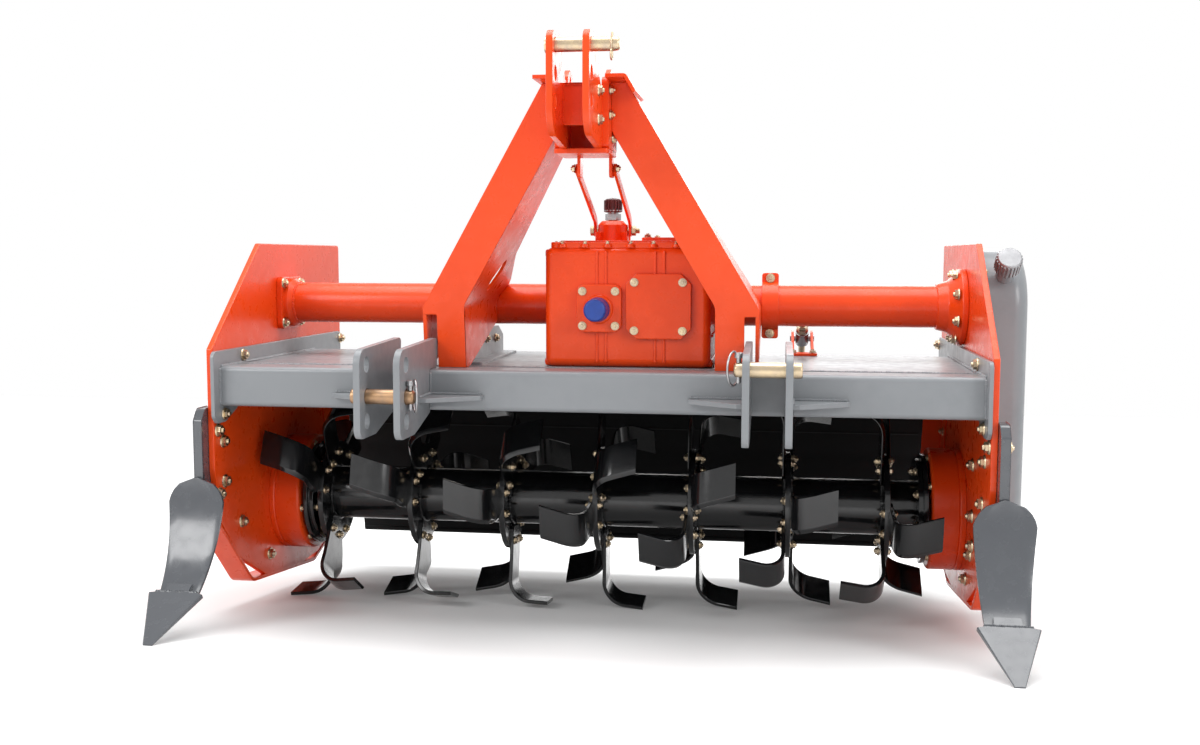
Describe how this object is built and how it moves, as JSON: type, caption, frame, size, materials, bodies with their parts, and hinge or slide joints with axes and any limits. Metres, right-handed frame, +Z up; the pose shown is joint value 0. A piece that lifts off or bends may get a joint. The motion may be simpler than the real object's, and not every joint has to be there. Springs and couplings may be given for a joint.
{
  "type": "rotary tiller",
  "caption": "Rear-mounted rotary tiller with three-point mast, side gear case, knife rotor under a hood, sprung trailing board and two track shovels.",
  "frame": {"origin": "middle of the machine's box at floor level, as it stands parked", "axes": "+X across the working width to the gear case side, +Y back away from the tractor, +Z up"},
  "size_m": [1.6952, 1.1754, 1.1085],
  "materials": {
    "orange_paint": "gloss",
    "grey_paint": "semi-gloss",
    "black_paint": "gloss",
    "zinc_plate": "yellow passivated zinc",
    "bright_steel": "machined",
    "blue_plastic": "moulded"
  },
  "bodies": {
    "frame": {"side_plate_right": "orange_paint", "side_plate_left": "orange_paint", "skid_right": "orange_paint", "skid_left": "orange_paint", "end_plate_right": "grey_paint", "end_plate_left": "grey_paint", "front_beam": "grey_paint", "hood_deck": "grey_paint", "board_hinge_rod": "zinc_plate", "rod_bracket_left": "orange_paint", "rod_bracket_right": "orange_paint", "axle_tube_left": "orange_paint", "axle_tube_right": "orange_paint", "gearbox_housing": "orange_paint", "gearbox_lid": "orange_paint", "breather_cap": "bright_steel", "input_cover": "orange_paint", "inspection_cover": "orange_paint", "gear_case": "grey_paint", "gear_case_cap": "bright_steel", "bearing_drum_right": "orange_paint", "bearing_drum_left": "orange_paint", "side_baffle_right": "orange_paint", "side_baffle_left": "orange_paint", "shovel_blade_right": "grey_paint", "shovel_blade_left": "grey_paint", "shovel_point_right": "grey_paint", "shovel_point_left": "grey_paint", "shovel_shank_right": "grey_paint", "shovel_shank_left": "grey_paint", "hitch_plate_left_outer": "grey_paint", "hitch_plate_left_inner": "grey_paint", "hitch_pin_left": "zinc_plate", "hitch_plate_right_outer": "grey_paint", "hitch_plate_right_inner": "grey_paint", "hitch_pin_right": "zinc_plate", "mast_leg_right": "orange_paint", "mast_leg_left": "orange_paint", "mast_head": "orange_paint", "top_link_pin": "zinc_plate", "mast_stay_left": "orange_paint", "mast_stay_right": "orange_paint", "mast_stay_bolt": "zinc_plate", "tube_clamp_right": "orange_paint", "tube_clamp_left": "orange_paint"},
    "trailing_board": {"trailing_board": "black_paint"},
    "support_rod_left": {"support_rod_left": "zinc_plate"},
    "trunnion_left": {"trunnion_left": "bright_steel"},
    "support_rod_right": {"support_rod_right": "zinc_plate"},
    "trunnion_right": {"trunnion_right": "bright_steel"},
    "input_shaft": {"input_shaft": "bright_steel", "input_shaft_cap": "blue_plastic"},
    "rotor": {"rotor_tube": "black_paint", "knife_set_1": "black_paint", "knife_set_2": "black_paint", "knife_set_3": "black_paint", "knife_set_4": "black_paint", "knife_set_5": "black_paint", "knife_set_6": "black_paint", "knife_set_7": "black_paint"}
  },
  "joints": [
    {"name": "rotor_spin", "type": "hinge", "parent": "frame", "child": "rotor", "pos_m": [-0.01665, 0.08271, 0.24067], "axis": [1, 0, 0], "continuous": true},
    {"name": "input_shaft_spin", "type": "hinge", "parent": "frame", "child": "input_shaft", "pos_m": [-0.00965, -0.26516, 0.63734], "axis": [0, 0.9934, 0.1149], "continuous": true},
    {"name": "trailing_board", "type": "hinge", "parent": "frame", "child": "trailing_board", "pos_m": [-0.01665, 0.36409, 0.48864], "axis": [1, 0, 0], "range_deg": [0, 35]},
    {"name": "trunnion_left_swing", "type": "hinge", "parent": "frame", "child": "trunnion_left", "pos_m": [-0.43465, 0.28092, 0.61593], "axis": [1, 0, 0], "range_deg": [-1, 25]},
    {"name": "support_rod_left_slide", "type": "slide", "parent": "trunnion_left", "child": "support_rod_left", "axis": [0, -0.6513, 0.7588], "range_m": [-0.002, 0.0302]},
    {"name": "trunnion_right_swing", "type": "hinge", "parent": "frame", "child": "trunnion_right", "pos_m": [0.40135, 0.28092, 0.61593], "axis": [1, 0, 0], "range_deg": [-1, 25]},
    {"name": "support_rod_right_slide", "type": "slide", "parent": "trunnion_right", "child": "support_rod_right", "axis": [0, -0.6513, 0.7588], "range_m": [-0.002, 0.0302]}
  ],
  "couplings": [
    {"joint": "input_shaft_spin", "follows": "rotor_spin", "ratio": 2.63},
    {"joint": "trunnion_left_swing", "follows": "trailing_board", "ratio": 0.67},
    {"joint": "support_rod_left_slide", "follows": "trailing_board", "m_per_rad": 0.0445},
    {"joint": "trunnion_right_swing", "follows": "trailing_board", "ratio": 0.67},
    {"joint": "support_rod_right_slide", "follows": "trailing_board", "m_per_rad": 0.0445}
  ]
}
